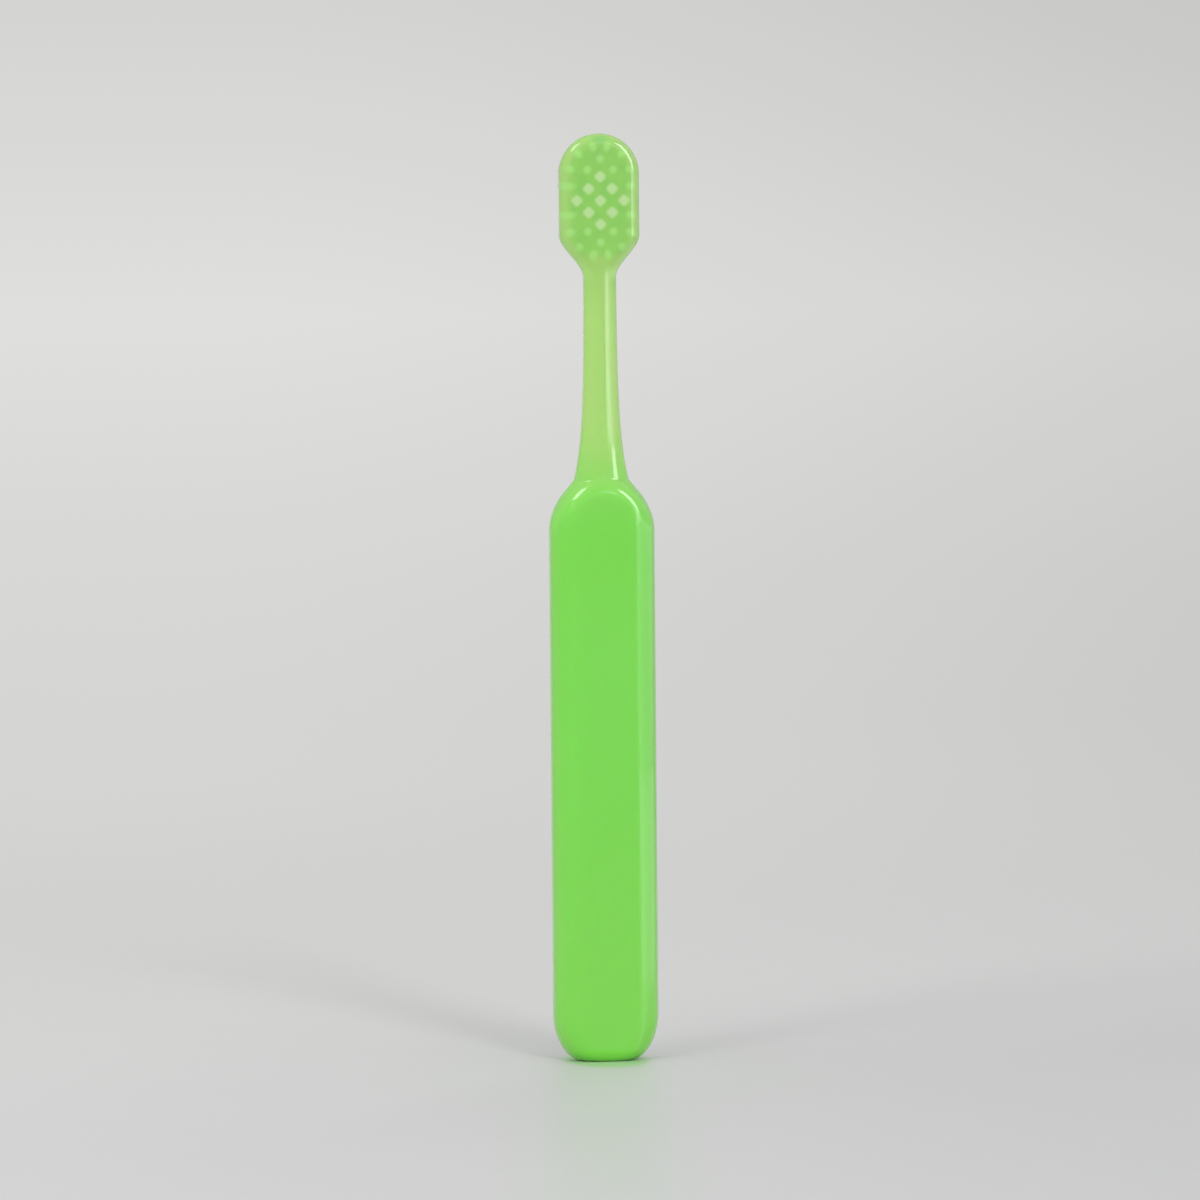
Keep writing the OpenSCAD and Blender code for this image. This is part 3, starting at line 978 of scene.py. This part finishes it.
# painted light: a green glow round the foot, for light that passed through the plastic
painted_glow_by_foot = 1 - ramp(length(x / GLOW_X, y / GLOW_Y), GLOW_START, GLOW_FADE)
paper_and_light = blend(painted_glow_by_foot * 0.6, paper_and_light, GREEN_GLOW)
finish_shader(shader, {"Specular IOR Level": 0.14},
              {"Base Color": paper_and_light, "Roughness": 0.36 + 0.1 * grain})
sweep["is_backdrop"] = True
print("sweep:", len(faces), "strips")

# %% [markdown]
# The backdrop is lit in the studio by lamps of its own, and those must not reach the brush. So
# its far part simply shows a colour to the camera, and to the rays that mirror it or pass
# through the plastic, while every other ray still meets plain paper. That colour is painted
# light: brightest part way up and a little darker to the right.

# %% The backdrop's own brightness
LEVELS = {0.0: (213, 213, 212), 0.15: (215, 215, 213), 0.5: (223, 223, 221), 1.0: (211, 211, 210)}
LEVELS_HEIGHT = 0.25              # the height in metres at which the levels end
RIGHT_START, RIGHT_FADE = -0.15, 0.55     # where the darker right side sets in, in metres
FAR_START, FAR_FADE = 0.15, 0.65          # where the sheet turns into the backdrop
stops = [(place, colour(*level)[:3]) for place, level in LEVELS.items()]
height_tone = where.node("ShaderNodeValToRGB", {"stops": stops}, {0: z / LEVELS_HEIGHT})
side_tone = blend(ramp(run, RIGHT_START, RIGHT_FADE), colour(255, 255, 255), colour(237, 237, 237))
tone = where.node("ShaderNodeMix", {"data_type": "RGBA", "blend_type": "MULTIPLY"},
                  {0: 1.0, 6: height_tone, 7: side_tone}, out=2)
seen = clamp(sum(where.node("ShaderNodeLightPath", {}, {}, out=f"Is {kind} Ray")
                 for kind in ("Camera", "Glossy", "Transmission")))
glow = where.node("ShaderNodeEmission", {}, {"Color": tone, "Strength": 1.0})
far = ramp(y, FAR_START, FAR_FADE)
plain = Wire(floor_material.node_tree, shader.outputs[0])
both = where.node("ShaderNodeMixShader", {}, {0: seen * far, 1: plain, 2: glow})
floor_end = next(n for n in floor_material.node_tree.nodes if n.type == "OUTPUT_MATERIAL")
floor_material.node_tree.links.new(both.socket, floor_end.inputs["Surface"])
print("backdrop is ready")

# %% [markdown]
# Four softboxes light the scene: two in front, which draw the two soft shadows, a large one
# at the left and one behind. The others are only mirrored in the gloss, like the cards and
# strips that a photographer sets round a shiny thing. Those on the right draw the long
# highlight on the neck, the arcs of the rims and the pale band down the handle's side. The
# one at the top left draws the short arcs on the left of the head and of the handle's top.

# %% Lights
WORLD_STRENGTH = 0.85
MIDDLE = (0, 0, 0.1)              # what most lamps look at
FOOT_EDGE = (0, 0, 0.0235)        # what the foot's own card looks at


def softbox(name, azimuth, elevation, distance, wide, tall, watts, lights=False, aim=MIDDLE):
    """An area light that looks at the brush. It either lights it or is only mirrored in it."""
    a, e = radians(azimuth), radians(elevation)
    towards = Vector((sin(a) * cos(e), -cos(a) * cos(e), sin(e)))
    data = bpy.data.lights.new(name, "AREA")
    data.shape = "RECTANGLE"
    data.size, data.size_y, data.energy = wide, tall, watts
    lamp = bpy.data.objects.new(name, data)
    lamp.visible_camera, lamp.visible_diffuse, lamp.visible_glossy = False, lights, not lights
    lamp.location = Vector(aim) + towards * distance
    lamp.rotation_euler = towards.to_track_quat("Z", "Y").to_euler()
    bpy.context.scene.collection.objects.link(lamp)


softbox("front_right_light", 14, 23, 1.7, 0.35, 0.35, 9.5, lights=True)
softbox("front_left_light", -43, 28, 1.7, 0.45, 0.45, 4.5, lights=True)
softbox("left_light", -75, 6, 1.4, 1.5, 1.0, 3, lights=True)
softbox("back_light", 160, 35, 1.5, 0.6, 0.5, 2.5, lights=True)
softbox("right_box", 48, 30, 1.2, 0.4, 0.62, 3.7)
softbox("right_mid_box", 46, 11, 1.25, 0.3, 0.2, 0.75)
softbox("right_strip_near", 34, 2, 1.25, 0.4, 0.16, 0.46)
softbox("right_strip_mid", 52, 2, 1.25, 0.4, 0.16, 0.14)
softbox("right_strip_far", 72, 1, 1.25, 0.5, 0.16, 0.06)
softbox("right_low_card", 70, -3, 0.7, 1.12, 0.12, 0.28)
softbox("right_foot_card", 70, 0, 0.14, 0.2, 0.045, 0.019, aim=FOOT_EDGE)
softbox("top_left_box", -64, 52, 1.2, 0.36, 0.34, 1.8)
world = bpy.data.worlds.new("world")
world.use_nodes = True
background = world.node_tree.nodes["Background"]
background.inputs["Color"].default_value = (1, 1, 1, 1)
background.inputs["Strength"].default_value = WORLD_STRENGTH
bpy.context.scene.world = world
bpy.context.scene.view_settings.view_transform = "Standard"
print("lights are ready")

# %% Finish
low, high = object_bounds()
print("CAD box in mm:", [round(v / MM, 2) for v in (*cad_low, *cad_high)])
print("visual box in mm:", [round(v / MM, 2) for v in (*low, *high)])
